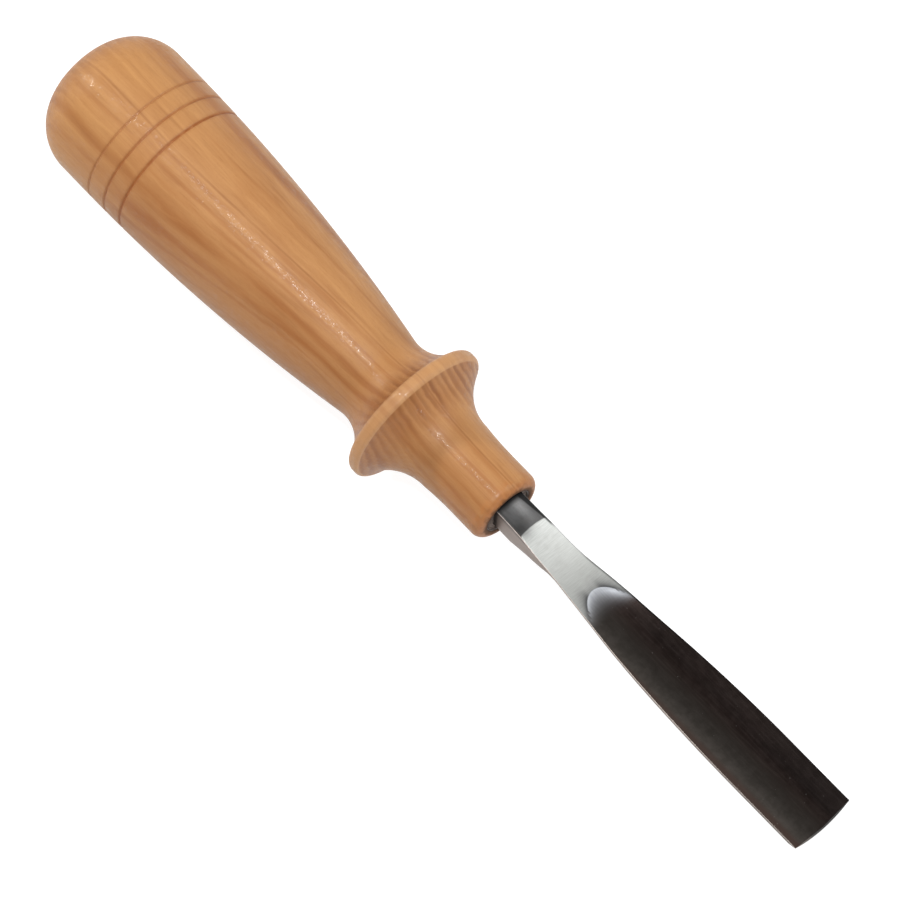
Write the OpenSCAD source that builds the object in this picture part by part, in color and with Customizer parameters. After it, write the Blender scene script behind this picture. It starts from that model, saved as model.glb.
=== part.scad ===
// Gouge-bladed lino cutter: a turned hardwood handle with a finger collar,
// a steel ring let into its mouth, and a forged blade with a shallow flute.
// All sizes are in millimetres. X runs along the tool towards the cutting edge,
// Z points out of the open side of the flute, and the origin is on the handle's
// axis at the middle of the collar's rim.

/* [Handle] */
// Length from the butt's crown to the nose face
handle_len = 130; // [110:0.5:150]
// Greatest diameter of the grip
grip_d = 32.9; // [26:0.1:40]
// Distance from the butt's crown to the fullest part of the grip
belly_back = 17.2; // [14:0.1:40]
// Radius of the turned shoulder round the butt
butt_round_r = 11.4; // [6:0.1:13]
// Radius of the shallow crown on the butt
butt_crown_r = 60; // [40:1:120]
// Diameter at the narrowest part of the neck
neck_d = 20.4; // [16:0.1:26]
// Distance from the collar's middle back to the narrowest part of the neck
neck_back = 9.7; // [8:0.1:16]
// Radius of the cove between neck and collar
neck_cove_r = 9.1; // [5:0.1:9.5]

/* [Collar and nose] */
// Diameter of the collar's rim
collar_d = 33.3; // [28:0.1:40]
// Width of the flat rim
collar_w = 2; // [1.5:0.1:5]
// Rounding of the rim's front edge
collar_round = 0.6; // [0.2:0.1:1]
// Radius of the cove in front of the collar
front_cove_r = 12.4; // [8:0.1:15]
// Distance from the collar's middle to the front end of that cove
front_cove_end = 12.7; // [9:0.1:16]
// Diameter at the front end of that cove
front_cove_d = 17.28; // [16:0.1:22]
// Distance from the collar's middle to the nose face
nose_len = 28.4; // [24:0.1:40]
// Diameter of the straight nose
nose_d = 16.5; // [15:0.1:20]
// Length of the straight nose, rounding included
nose_straight = 8; // [4:0.1:10]
// Rounding of the nose's front edge
nose_round = 2; // [0.5:0.1:2.2]

/* [Burnt lines] */
// Distance from the butt's crown to the rearmost line
line_start = 20.8; // [14:0.1:40]
// Distance between neighbouring lines
line_pitch = 4.65; // [3:0.05:8]
// Depth of each line
line_depth = 0.3; // [0.1:0.05:0.6]

/* [Ferrule] */
// Outside diameter of the steel ring
ferrule_od = 11.6; // [11:0.1:13]
// Inside diameter of the steel ring
ferrule_id = 10.7; // [10.5:0.1:11.5]
// Length of the steel ring
ferrule_len = 10; // [6:0.5:14]
// How far the ring sits below the nose face
ferrule_sink = 0.2; // [0:0.1:1]

/* [Shank and tang] */
// Side of the square shank
shank_w = 6.6; // [5:0.1:6.8]
// Height of the shank's middle above the handle's axis
shank_rise = 0.8; // [0:0.1:1]
// Chamfer along the shank's edges
shank_chamfer = 0.35; // [0.1:0.05:0.6]
// Length of the tapered tang behind the ferrule
tang_len = 48; // [30:1:60]
// Side of the tang at its rear end
tang_end_w = 3.4; // [2:0.1:5]
// Gap left round the tang in its socket
tang_gap = 0.05; // [0.02:0.01:0.2]

/* [Blade] */
// Length of blade in front of the handle
blade_len = 92; // [70:1:120]
// Width of the cutting edge
blade_w = 15; // [8:0.5:20]
// Radius of the flute
flute_r = 20.5; // [12:0.5:30]
// Radius of the wheel that runs the flute out towards the shank
flute_wheel_r = 90; // [40:1:150]
// Height of the flute's floor above the handle's axis at the cutting edge
flute_floor = 3.3; // [2:0.1:4]
// Height of the blade's top corners above the handle's axis at the cutting edge
corner_rise = 4.8; // [4:0.1:6]
// Radius of the long curve that flares the blade's sides
flare_r = 450; // [200:10:700]
// Distance from the nose face to the end of that curve
flare_end = 74; // [60:1:85]
// Distance from the nose face to the waist
waist_at = 17.5; // [14:0.5:24]
// Angle of the sharpening bevel
bevel_angle = 22; // [15:1:30]
// Thickness left at the cutting edge
edge_t = 0.06; // [0.02:0.02:0.2]
// How far the middle of the cutting edge stands forward of its corners
edge_bow = 0.3; // [0.1:0.05:1]

/* [Ground facet] */
// Distance from the nose face to the rear end of the facet
facet_start = 6.7; // [4:0.1:10]
// Depth of the facet below the shank's top face
facet_depth = 1.3; // [0.5:0.1:2]
// Radius of the facet along the tool
facet_r = 48; // [30:1:80]
// Radius of the facet across the tool
facet_cross_r = 30; // [20:1:80]

/* [Hidden] */

$fn = 96;
big = 200;
eps = 0.01;

butt_x = nose_len - handle_len;
grip_r = grip_d / 2;
neck_r = neck_d / 2;
collar_r = collar_d / 2;
nose_r = nose_d / 2;

// The long back of the grip is one arc that meets the neck's cove smoothly.
belly_x = butt_x + belly_back;
belly_run = -neck_back - belly_x;
belly_drop = grip_r - neck_r;
belly_sum = (belly_run * belly_run + belly_drop * belly_drop) / (2 * belly_drop);
belly_r = belly_sum - neck_cove_r;
meet_x = -neck_back - neck_cove_r * belly_run / belly_sum;

// The butt's crown and shoulder are two arcs that touch smoothly.
shoulder_r0 = grip_r - butt_round_r;
crown_gap = butt_crown_r - butt_round_r;
crown_x = butt_x + butt_crown_r;
shoulder_x = crown_x - sqrt(crown_gap * crown_gap - shoulder_r0 * shoulder_r0);
touch_r = shoulder_r0 * butt_crown_r / crown_gap;

// The nose's slow taper is an arc that ends on the straight nose.
nose_arc_x = nose_len - nose_straight;
nose_arc_drop = front_cove_d / 2 - nose_r;
nose_arc_run = nose_arc_x - front_cove_end;
nose_arc_r = (nose_arc_run * nose_arc_run + nose_arc_drop * nose_arc_drop) / (2 * nose_arc_drop);

// Blade lines, measured from the nose face.
shank_half = shank_w / 2;
shank_top = shank_rise + shank_half;
shank_bottom = shank_rise - shank_half;
waist_w = blade_w - (flare_end - waist_at) * (flare_end - waist_at) / flare_r;
bow_r = (blade_w * blade_w / 4 + edge_bow * edge_bow) / (2 * edge_bow);
top_knee = 10;
top_low = 28;
top_slope = 0.0242;
top_low_z = corner_rise - top_slope * (blade_len - top_low);
floor_slope = 0.0205;
floor_angle = atan(floor_slope);
back_slope = 0.038;
back_waist = -1.7;
back_waist_r = 4;
back_growth = 8.53;
back_lead = 12;
shank_cone_r = 4.8;
shank_cone_tilt = 5.9;
shank_cone_loss = 0.0517;
flute_lead = 6.7;
flute_run_out = 15.2;
wheel_dip = 0.05;
facet_mid = facet_start + sqrt(2 * facet_r * facet_depth);

// Half of the handle's section: radius along the first axis, length along the second.
module grip_section() {
  intersection() {
    translate([grip_r - belly_r, belly_x]) circle(r = belly_r, $fn = 360);
    translate([0, shoulder_x]) square([grip_r, meet_x - shoulder_x]);
  }
  intersection() {
    translate([shoulder_r0, shoulder_x]) circle(r = butt_round_r);
    translate([0, butt_x]) square([grip_r, shoulder_x - butt_x]);
  }
  intersection() {
    translate([0, crown_x]) circle(r = butt_crown_r, $fn = 360);
    translate([0, butt_x]) square([touch_r, shoulder_x - butt_x]);
  }
}

module neck_section() {
  difference() {
    translate([0, meet_x]) square([collar_r, -collar_w / 2 - meet_x]);
    translate([neck_r + neck_cove_r, -neck_back]) circle(r = neck_cove_r);
  }
}

module collar_section() {
  translate([0, -collar_w / 2]) square([collar_r, collar_w]);
  translate([0, 0]) square([collar_r - collar_round, collar_w / 2 + collar_round]);
  translate([collar_r - collar_round, collar_w / 2]) circle(r = collar_round);
}

module nose_section() {
  cove_start = collar_w / 2 + collar_round;
  difference() {
    translate([0, cove_start]) square([collar_r - collar_round, front_cove_end - cove_start]);
    translate([front_cove_d / 2 + front_cove_r, front_cove_end]) circle(r = front_cove_r);
  }
  difference() {
    translate([0, front_cove_end]) square([front_cove_d / 2, nose_arc_run]);
    translate([nose_r + nose_arc_r, nose_arc_x]) circle(r = nose_arc_r, $fn = 360);
  }
  translate([0, nose_arc_x]) square([nose_r, nose_straight - nose_round]);
  translate([0, nose_len - nose_round]) square([nose_r - nose_round, nose_round]);
  translate([nose_r - nose_round, nose_len - nose_round]) circle(r = nose_round);
}

module along_x() {
  rotate([0, 90, 0]) children();
}

// A V-shaped groove turned into the grip.
module burnt_line(x) {
  floor_r = grip_r - belly_r - line_depth + sqrt(belly_r * belly_r - (x - belly_x) * (x - belly_x));
  translate([x, 0, 0])
    along_x()
      rotate_extrude()
        polygon([
          [floor_r, 0],
          [floor_r + 4 * line_depth, -4 * line_depth],
          [floor_r + 4 * line_depth, 4 * line_depth],
        ]);
}

module tang(gap) {
  side0 = shank_w + 2 * gap;
  side1 = tang_end_w + 2 * gap;
  tilt = atan(shank_rise / tang_len);
  translate([nose_len - ferrule_len, 0, shank_rise])
    rotate([0, -90 - tilt, 0])
      rotate([0, 0, 45])
        cylinder(h = tang_len + gap, r1 = side0 / sqrt(2), r2 = side1 / sqrt(2), $fn = 4);
}

module handle() {
  color([0.77, 0.56, 0.36])
    difference() {
      along_x()
        rotate_extrude()
          difference() {
            union() {
              grip_section();
              neck_section();
              collar_section();
              nose_section();
            }
            translate([0, nose_len - ferrule_len - ferrule_sink])
              square([ferrule_od / 2, ferrule_len + ferrule_sink + 1]);
          }
      for (i = [0:2]) burnt_line(butt_x + line_start + i * line_pitch);
      tang(tang_gap);
    }
}

module ferrule() {
  color([0.52, 0.5, 0.48])
    translate([nose_len - ferrule_len - ferrule_sink, 0, 0])
      along_x()
        difference() {
          cylinder(h = ferrule_len, r = ferrule_od / 2);
          translate([0, 0, -1]) cylinder(h = ferrule_len + 2, r = ferrule_id / 2);
        }
}

// Outline seen from above the flute.
module blade_plan() {
  intersection() {
    union() {
      translate([-ferrule_len - ferrule_sink, -shank_half]) square([ferrule_len + ferrule_sink + 4, shank_w]);
      polygon([
        [4 - eps, -shank_half],
        [waist_at, -waist_w / 2],
        [waist_at, waist_w / 2],
        [4 - eps, shank_half],
      ]);
      intersection() {
        translate([flare_end, blade_w / 2 - flare_r]) circle(r = flare_r, $fn = 360);
        translate([flare_end, flare_r - blade_w / 2]) circle(r = flare_r, $fn = 360);
        translate([waist_at - eps, -blade_w]) square([flare_end - waist_at + eps, 2 * blade_w]);
      }
      translate([flare_end - eps, -blade_w / 2]) square([blade_len - flare_end + 1, blade_w]);
    }
    translate([blade_len - bow_r, 0]) circle(r = bow_r, $fn = 360);
  }
}

// Outline seen from the side.
module blade_side() {
  polygon([
    [-ferrule_len - ferrule_sink - 1, shank_bottom],
    [-ferrule_len - ferrule_sink - 1, shank_top],
    [top_knee, shank_top],
    [waist_at + 6, top_low_z + 0.1],
    [top_low, top_low_z],
    [blade_len + 1, corner_rise + top_slope],
    [blade_len + 1, shank_bottom],
  ]);
}

module lengthwise_cylinder(x, z, r, h) {
  translate([x, 0, z]) along_x() cylinder(h = h, r = r);
}

// Everything above the rounded underside: square shank, then a cone that shrinks
// to the waist, then one that grows towards the edge.
module blade_back() {
  translate([-ferrule_len - 2, -big / 2, -big / 2]) cube([ferrule_len + 5, big, big]);
  translate([2, 0, shank_rise])
    rotate([0, -shank_cone_tilt, 0])
      along_x()
        cylinder(h = 26, r1 = shank_cone_r, r2 = shank_cone_r - 26 * shank_cone_loss);
  reach = blade_len - waist_at + 30;
  translate([waist_at, 0, back_waist])
    rotate([0, -atan(back_slope) - back_growth, 0])
      translate([-back_lead, 0, back_waist_r * cos(back_growth)])
        along_x()
          cylinder(
            h = reach,
            r1 = back_waist_r * cos(back_growth) - back_lead * tan(back_growth),
            r2 = back_waist_r * cos(back_growth) + (reach - back_lead) * tan(back_growth)
          );
}

// A crowned grinding wheel whose lowest point is at the origin.
module wheel(r, cross_r) {
  translate([0, 0, r])
    rotate([90, 0, 0])
      rotate_extrude()
        intersection() {
          translate([r - cross_r, 0]) circle(r = cross_r, $fn = 360);
          translate([0, -cross_r]) square([r, 2 * cross_r]);
        }
}

// The long flute, run out towards the shank by a wheel that dips a hair below its floor.
module flute() {
  start = facet_mid + flute_lead + flute_run_out;
  start_z = flute_floor - floor_slope * (blade_len - start);
  translate([start, 0, start_z])
    rotate([0, -floor_angle, 0]) {
      lengthwise_cylinder(0, flute_r, flute_r, blade_len);
      translate([0, 0, -wheel_dip]) wheel(flute_wheel_r, flute_r);
    }
}

module facet() {
  translate([facet_mid, 0, shank_top - facet_depth]) wheel(facet_r, facet_cross_r);
}

// Keeps what lies inside the sharpening bevel.
module bevel() {
  reach = blade_len + 30;
  translate([blade_len, 0, flute_floor])
    rotate([0, -floor_angle, 0])
      translate([-reach, 0, flute_r])
        along_x()
          cylinder(h = reach, r1 = flute_r + edge_t + reach * tan(bevel_angle), r2 = flute_r + edge_t);
}

module shank_edges() {
  reach = waist_at + ferrule_len + 1;
  side = (2 * shank_w - 2 * shank_chamfer) / sqrt(2);
  translate([-ferrule_len - 1, 0, shank_rise])
    rotate([45, 0, 0])
      translate([0, -side / 2, -side / 2]) cube([reach, side, side]);
  translate([waist_at - eps, -big / 2, -big / 2]) cube([big, big, big]);
}

module blade() {
  color([0.6, 0.61, 0.6]) {
    translate([nose_len, 0, 0])
      difference() {
        intersection() {
          translate([0, 0, -big / 4]) linear_extrude(height = big / 2) blade_plan();
          translate([0, big / 2, 0]) rotate([90, 0, 0]) linear_extrude(height = big) blade_side();
          blade_back();
          bevel();
          shank_edges();
        }
        flute();
        facet();
      }
    tang(0);
  }
}

handle();
ferrule();
blade();
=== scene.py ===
"""Looks of the gouge-bladed lino cutter: a lacquered, turned handle, the steel ring in
its mouth and the forged blade. Lengths are in millimetres until a mesh is made.
X runs along the tool towards the cutting edge and Z points out of the flute."""

import math

import bmesh
import bpy
import numpy as np
from mathutils import Matrix, Vector


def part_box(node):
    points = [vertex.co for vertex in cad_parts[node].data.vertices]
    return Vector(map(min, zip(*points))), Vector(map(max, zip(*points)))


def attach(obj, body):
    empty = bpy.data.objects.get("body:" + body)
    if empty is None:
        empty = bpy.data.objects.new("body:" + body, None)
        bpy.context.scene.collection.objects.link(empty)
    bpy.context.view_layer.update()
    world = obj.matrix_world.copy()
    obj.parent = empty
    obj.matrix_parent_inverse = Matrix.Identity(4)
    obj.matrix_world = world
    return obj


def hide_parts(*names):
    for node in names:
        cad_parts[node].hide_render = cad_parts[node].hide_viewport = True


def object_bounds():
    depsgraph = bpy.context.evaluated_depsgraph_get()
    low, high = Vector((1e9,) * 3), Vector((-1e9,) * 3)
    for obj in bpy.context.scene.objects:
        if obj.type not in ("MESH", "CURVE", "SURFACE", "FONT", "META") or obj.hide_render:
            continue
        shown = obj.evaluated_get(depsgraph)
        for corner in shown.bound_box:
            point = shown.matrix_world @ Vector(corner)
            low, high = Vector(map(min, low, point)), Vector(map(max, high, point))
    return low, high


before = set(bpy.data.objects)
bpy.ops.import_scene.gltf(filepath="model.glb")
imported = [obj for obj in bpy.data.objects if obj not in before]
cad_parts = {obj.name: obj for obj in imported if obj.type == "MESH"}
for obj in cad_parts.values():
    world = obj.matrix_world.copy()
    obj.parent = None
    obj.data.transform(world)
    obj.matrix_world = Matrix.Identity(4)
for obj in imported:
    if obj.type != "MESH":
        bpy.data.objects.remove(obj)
cad_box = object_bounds()

MM = 0.001
QUARTER = math.pi / 2


def span(node):
    """Lowest and highest corner of a CAD node in millimetres."""
    low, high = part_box(node)
    return low / MM, high / MM


# ---------------------------------------------------------------- driving dimensions

HANDLE_LOW, HANDLE_HIGH = span("handle")
RING_LOW, RING_HIGH = span("ferrule")
BLADE_LOW, BLADE_HIGH = span("blade")

BUTT_X = HANDLE_LOW.x
NOSE_X = HANDLE_HIGH.x
COLLAR_R = HANDLE_HIGH.z
GRIP_R = 16.45
BELLY_BACK = 17.2
SHOULDER_ARC = 11.4
CROWN_ARC = 60.0
NECK_R = 10.2
NECK_BACK = 9.7
NECK_COVE = 8.66
RIM_BACK_ROUND = 1.2
RIM_FRONT_ROUND = 1.0
FRONT_COVE = 12.0
FRONT_COVE_END = 12.45
FRONT_COVE_R = 8.64
COLLAR_LEAN = 0.65
COLLAR_BACK = -3.0
FACE_SKEW = 0.5
NOSE_R = 8.25
NOSE_STRAIGHT = 8.0
NOSE_ROUND = 2.0
LINE_START = 20.8
LINE_PITCH = 4.65
LINE_DEPTH = 0.3
LINE_STRENGTH = (0.45, 0.75, 1.0)
LINE_SLOPE = 0.6
LINE_SOFT = 0.06
HANDLE_SIDES = 192
SHARP_ANGLE = math.radians(32)
DOUBLED = 0.02

RING_R = RING_HIGH.z
RING_WALL = 0.45
SEAT_DEPTH = NOSE_X - RING_LOW.x
LIP_R = RING_R - 0.33
LIP_THICK = 0.18
# A sheet across the gap round the shank, standing in for the shade there: how far back it lies and
# how thick it is.
GAP_SHEET_DEPTH = 0.5
GAP_SHEET_THICK = 0.6
RING_EASE = 0.12
RING_SIDES = 128

SHANK_HALF = 3.36
SHANK_RISE = 0.92
SHANK_CHAMFER = 0.2
GAP_SHEET_CLEARANCE = 0.02
TANG_END_HALF = 1.7
TANG_LEN = NOSE_X - SEAT_DEPTH - BLADE_LOW.x
SOCKET_GAP = 0.05

BLADE_LEN = BLADE_HIGH.x - NOSE_X
BLADE_HALF = BLADE_HIGH.y
FLARE_ARC = 450.0
FLARE_END = 74.0
WAIST = 17.5
TAPER_FROM = 4.0
TAPER_TO = 30.0
FLUTE_ARC = 20.5
FLUTE_WHEEL = 90.0
FLUTE_START = 40.5
FLOOR_TIP = 3.3
FLOOR_SLOPE = 0.0205
TOP_TIP = 4.8
TOP_SLOPE = 0.0242
TOP_KNEE = 10.0
TOP_LOW = 28.0
KNEE_PAST_WAIST = 6.0
KNEE_RISE = 0.1
FACET_MID = 17.87
FACET_DEPTH = 1.3
FACET_ARC = 48.0
FACET_CROSS_ARC = 70.0
GRIND_REACH = 24.0
# Widths over which two surfaces of the blade round into each other.
FACET_CREASE = 0.05
FACET_RUNOUT = 0.9
FLUTE_CREASE = 0.07
SHANK_CREASE = 0.06
UNDERSIDE_Z = -1.7
UNDERSIDE_SLOPE = 0.038
KEEL_FROM = 4.0
KEEL_POWER = 2.2
# How deep the blade's side wall is, at places measured from the nose face.
WALL_AT = (10, 13, 16, 18, 26, 45)
WALL_DEEP = (3.8, 2.4, 0.8, 0.35, 0.35, 0.9)
BEVEL = math.radians(22)
BEVEL_WITHIN = 12.0
EDGE_T = 0.06
EDGE_BOW = 0.45
BOW_FROM = 84.0
BOW_MIDDLE = -3.0
EDGE_WEAR = 0.13
# The worn corner's points: how far out and how far down, in shares of the wear.
WORN_CORNER = ((0.30, 0.05), (0.71, 0.29), (0.95, 0.70))
BLADE_COLUMNS = 64
# Marks carried by each point of the blade, from 0 to 1: how much it belongs to each kind of
# surface, or to a painted crescent highlight, painted lip shade or painted corner highlight; and
# last a factor on the steel's colour, which may pass 1, for painted light and shade.
MARKS = ("facet", "flute", "edge", "bevel", "crescent_highlight", "lip", "painted_light")
MARK_BLUR = 0.03

# The viewer's direction: leant towards the edge by VIEW_LEAN, then turned about the
# tool's axis by VIEW_ROLL. The tool runs down across the picture at PICTURE_ANGLE.
VIEW_LEAN = math.radians(17.6)
VIEW_ROLL = math.radians(19.5)
PICTURE_ANGLE = math.radians(45.943)
VIEW_DISTANCE = 1593.6
VIEW_CENTRE_X = 10.74
VIEW_OFFSET = 0.117
LENS = 320
SENSOR = 36
SHEET_REACH = 2600
SHEET_POINTS = 13

ALONG = Vector((1, 0, 0))
FACING = Vector((0, -math.sin(VIEW_ROLL), math.cos(VIEW_ROLL)))
ACROSS = Vector((0, -math.cos(VIEW_ROLL), -math.sin(VIEW_ROLL)))


# ---------------------------------------------------------------- shader helper


class Shader:
    """Builds one material's nodes. Inputs may be sockets or plain values."""

    def __init__(self, name):
        self.material = bpy.data.materials.new(name)
        self.material.use_nodes = True
        self.tree = self.material.node_tree
        self.surface = self.tree.nodes["Principled BSDF"]

    def put(self, value, socket):
        if isinstance(value, bpy.types.NodeSocket):
            self.tree.links.new(value, socket)
        else:
            socket.default_value = value

    def node(self, kind, **settings):
        made = self.tree.nodes.new(kind)
        for key, value in settings.items():
            setattr(made, key, value)
        return made

    def math(self, operation, a, b=0.0, clamp=False):
        made = self.node("ShaderNodeMath", operation=operation, use_clamp=clamp)
        self.put(a, made.inputs[0])
        self.put(b, made.inputs[1])
        return made.outputs[0]

    def vector(self, operation, a, b=(0, 0, 0)):
        made = self.node("ShaderNodeVectorMath", operation=operation)
        self.put(a, made.inputs[0])
        self.put(b, made.inputs[1])
        return made.outputs["Value" if operation == "DOT_PRODUCT" else "Vector"]

    def place(self):
        """Position on the object in millimetres."""
        where = self.node("ShaderNodeTexCoord").outputs["Object"]
        return self.vector("MULTIPLY", where, (1 / MM,) * 3)

    def normal(self):
        return self.node("ShaderNodeNewGeometry").outputs["Normal"]

    def noise(self, where, stretch, detail=2.0, roughness=0.5, shift=0.0):
        """Noise whose cells per millimetre along each axis are given by stretch."""
        scaled = self.vector("MULTIPLY", where, stretch)
        moved = self.vector("ADD", scaled, (shift, 2 * shift, 3 * shift))
        made = self.node("ShaderNodeTexNoise")
        self.put(moved, made.inputs["Vector"])
        made.inputs["Scale"].default_value = 1.0
        made.inputs["Detail"].default_value = detail
        made.inputs["Roughness"].default_value = roughness
        return made.outputs["Fac"]

    def fit(self, value, low, high, to_low=0.0, to_high=1.0, smooth=True):
        made = self.node("ShaderNodeMapRange")
        made.interpolation_type = "SMOOTHSTEP" if smooth else "LINEAR"
        for value_in, name in (
            (value, "Value"),
            (low, "From Min"),
            (high, "From Max"),
            (to_low, "To Min"),
            (to_high, "To Max"),
        ):
            self.put(value_in, made.inputs[name])
        return made.outputs["Result"]

    def mix(self, share, a, b, blend="MIX"):
        made = self.node("ShaderNodeMix", data_type="RGBA", blend_type=blend)
        self.put(share, made.inputs[0])
        for value, socket in ((a, made.inputs[6]), (b, made.inputs[7])):
            if isinstance(value, tuple) and len(value) == 3:
                value = (*value, 1.0)
            self.put(value, socket)
        return made.outputs[2]

    def mix_value(self, share, a, b):
        """a where share is 0, b where it is 1."""
        made = self.node("ShaderNodeMix", data_type="FLOAT")
        for value, socket in zip((share, a, b), (made.inputs[0], made.inputs[2], made.inputs[3])):
            self.put(value, socket)
        return made.outputs[0]

    def combined(self, x, y, z=0.0):
        made = self.node("ShaderNodeCombineXYZ")
        for value, socket in zip((x, y, z), made.inputs):
            self.put(value, socket)
        return made.outputs[0]

    def dim(self, colour, factor):
        """The colour times a factor, which may pass 1."""
        return self.mix(1.0, colour, self.combined(factor, factor, factor), "MULTIPLY")

    def radius(self, where):
        """Distance from the tool's axis."""
        flat = self.vector("MULTIPLY", where, (0, 1, 1))
        made = self.node("ShaderNodeVectorMath", operation="LENGTH")
        self.put(flat, made.inputs[0])
        return made.outputs["Value"]

    def attribute(self, name):
        return self.node("ShaderNodeAttribute", attribute_name=name).outputs["Fac"]

    def bump(self, height, strength, distance_mm, onto=None):
        made = self.node("ShaderNodeBump")
        made.inputs["Strength"].default_value = strength
        made.inputs["Distance"].default_value = distance_mm * MM
        self.put(height, made.inputs["Height"])
        if onto is not None:
            self.put(onto, made.inputs["Normal"])
        return made.outputs["Normal"]

    def finish(self, **inputs):
        for name, value in inputs.items():
            self.put(value, self.surface.inputs[name.replace("_", " ")])
        return self.material


# ---------------------------------------------------------------- materials

# Colours of the wood, whose end grain also carries painted shade; then of painted shade on the
# near side and round the mouth, of the paler rim, the warmer mouth and the burning.
PALE = (0.390, 0.192, 0.071)
PALE_STREAK = (0.465, 0.243, 0.090)
PALE_BUTT = (0.44, 0.218, 0.070)
WARM = (0.285, 0.120, 0.038)
BLOTCH = (0.300, 0.122, 0.038)
BAND = (0.262, 0.093, 0.024)
DARK = (0.172, 0.056, 0.014)
VEIN = (0.190, 0.063, 0.016)
END_GRAIN_AND_SHADE = (0.270, 0.108, 0.034)
NEAR_SIDE_SHADE = (0.240, 0.092, 0.028)
PALE_RIM = (0.47, 0.27, 0.13)
MOUTH_WARM = (0.330, 0.125, 0.034)
# Painted shade round the mouth, greyed by a painted reflection, and darkest at its edge.
MOUTH_SHADE_GREY = (0.095, 0.052, 0.033)
MOUTH_EDGE_SHADE = (0.040, 0.028, 0.022)
CHAR = (0.240, 0.077, 0.018)

# Darker bands in the wood: place across the growth layers, half width, strength.
WOOD_BANDS = (
    (-12.6, 1.2, 0.60),
    (-6.8, 0.4, 0.20),
    (1.5, 0.6, 0.35),
    (4.9, 0.5, 0.50),
    (6.7, 0.4, 0.35),
    (10.3, 1.0, 0.75),
    (13.5, 0.8, 0.85),
    (15.4, 0.25, 0.50),
)
WOOD_VEIN = (0.5, 0.26, 0.55)
LAYER = 2.2
LAYER_LEAN = math.radians(10)

# Pairs of colours that a noise runs between.
RING_STEELS = ((0.16, 0.14, 0.13), (0.08, 0.06, 0.05))
GAP_SHEET_GREYS = ((0.17, 0.125, 0.100), (0.075, 0.055, 0.045))
SHANK_GREYS = ((0.143, 0.145, 0.145), (0.097, 0.095, 0.093))
FACET_BRIGHTS = ((0.485, 0.50, 0.485), (0.405, 0.415, 0.40))
# The flute's browns and greens are largely a painted reflection of a dark room.
FLUTE_BROWNS = ((0.018, 0.0110, 0.0092), (0.026, 0.0170, 0.0148))
FLUTE_GREENS = ((0.070, 0.061, 0.053), (0.054, 0.047, 0.040))
WORN_STEELS = ((0.50, 0.50, 0.49), (0.40, 0.40, 0.39))
# A painted highlight at the flute's start.
CRESCENT_HIGHLIGHTS = ((0.62, 0.65, 0.69), (0.52, 0.55, 0.60))

SHANK_SCALE = (0.10, 0.09, 0.085)
LIT_SHANK_FLANK = (0.235, 0.185, 0.160)
FACET_DULL = (0.36, 0.36, 0.35)
FLUTE_NEAR = (0.056, 0.038, 0.031)
FLUTE_STREAK = (0.10, 0.088, 0.08)
FLUTE_SPECK = (0.25, 0.24, 0.23)
# A painted highlight along the near top corner.
EDGE_HIGHLIGHT_STEEL = (0.52, 0.46, 0.42)
# Painted shade on the lip round the flute's start.
LIP_SHADE_STEEL = (0.030, 0.030, 0.035)


def grain_place(s, where, along):
    """Distance across the growth layers, which draw together towards the collar."""
    normal = ACROSS * math.cos(LAYER_LEAN) + FACING * math.sin(LAYER_LEAN)
    flat = s.vector("DOT_PRODUCT", where, (0, *normal.yz))
    near = s.fit(along, -75.0, 0.0)
    drawn = s.math("MULTIPLY", flat, s.math("ADD", 1.0, s.math("MULTIPLY", near, 0.367)))
    return s.math("ADD", drawn, s.math("MULTIPLY", near, 4.65))


def band_at(s, place, middle, half, strength):
    """A soft band round a place across the growth layers."""
    off = s.math("ABSOLUTE", s.math("SUBTRACT", place, middle))
    return s.fit(off, 1.6 * half, 0.3 * half, 0.0, strength)


class Grain:
    """A point's place in the handle's wood, and the noises that its looks share. The
    growth layers are nearly flat sheets along X, so they show as long streaks on the
    grip and as close stripes on the collar's faces."""

    def __init__(self, s):
        self.where = where = s.place()
        self.along = s.vector("DOT_PRODUCT", where, (1, 0, 0))
        self.depth = grain_place(s, where, self.along)
        self.sway = s.noise(where, (0.020, 0.05, 0.05), detail=2.0)
        ripple = s.noise(where, (0.07, 0.35, 0.35), detail=3.0, shift=7.0)
        bent = s.math("ADD", self.depth, s.fit(self.sway, 0.0, 1.0, -1.0, 1.0, smooth=False))
        self.bent = s.math("ADD", bent, s.fit(ripple, 0.0, 1.0, -0.75, 0.75, smooth=False))
        self.patchy = self.drawn_out(s, 0.034, 0.30, detail=3.0, shift=3.3)
        self.streaks = self.drawn_out(s, 0.05, 0.75, detail=4.0, roughness=0.6, shift=11.0)
        self.fibres = s.noise(where, (0.12, 2.0, 2.0), detail=3.0, roughness=0.6, shift=5.0)
        self.flecks = s.noise(where, (1.4, 2.2, 2.2), detail=3.0, roughness=0.7, shift=15.0)
        self.from_butt = s.fit(self.along, BUTT_X, BUTT_X + 38.0, 0.45, 1.0)
        self.rim = s.fit(s.radius(where), COLLAR_R - 0.95, COLLAR_R - 0.55)
        # How steeply a face turns across the axis, off the rim: it marks end grain and the painted
        # shade on steep faces.
        lie = s.math("ABSOLUTE", s.vector("DOT_PRODUCT", s.normal(), (1, 0, 0)))
        off_rim = s.math("SUBTRACT", 1.0, self.rim)
        self.end_grain_and_shade = s.math("MULTIPLY", s.fit(lie, 0.36, 0.80), off_rim)

    def drawn_out(self, s, per_mm_along, per_mm_across, **settings):
        """Noise whose cells are long and follow the bent layers."""
        along = s.math("MULTIPLY", self.along, per_mm_along)
        across = s.math("MULTIPLY", self.bent, per_mm_across)
        return s.noise(s.combined(along, across), (1, 1, 1), **settings)


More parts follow.
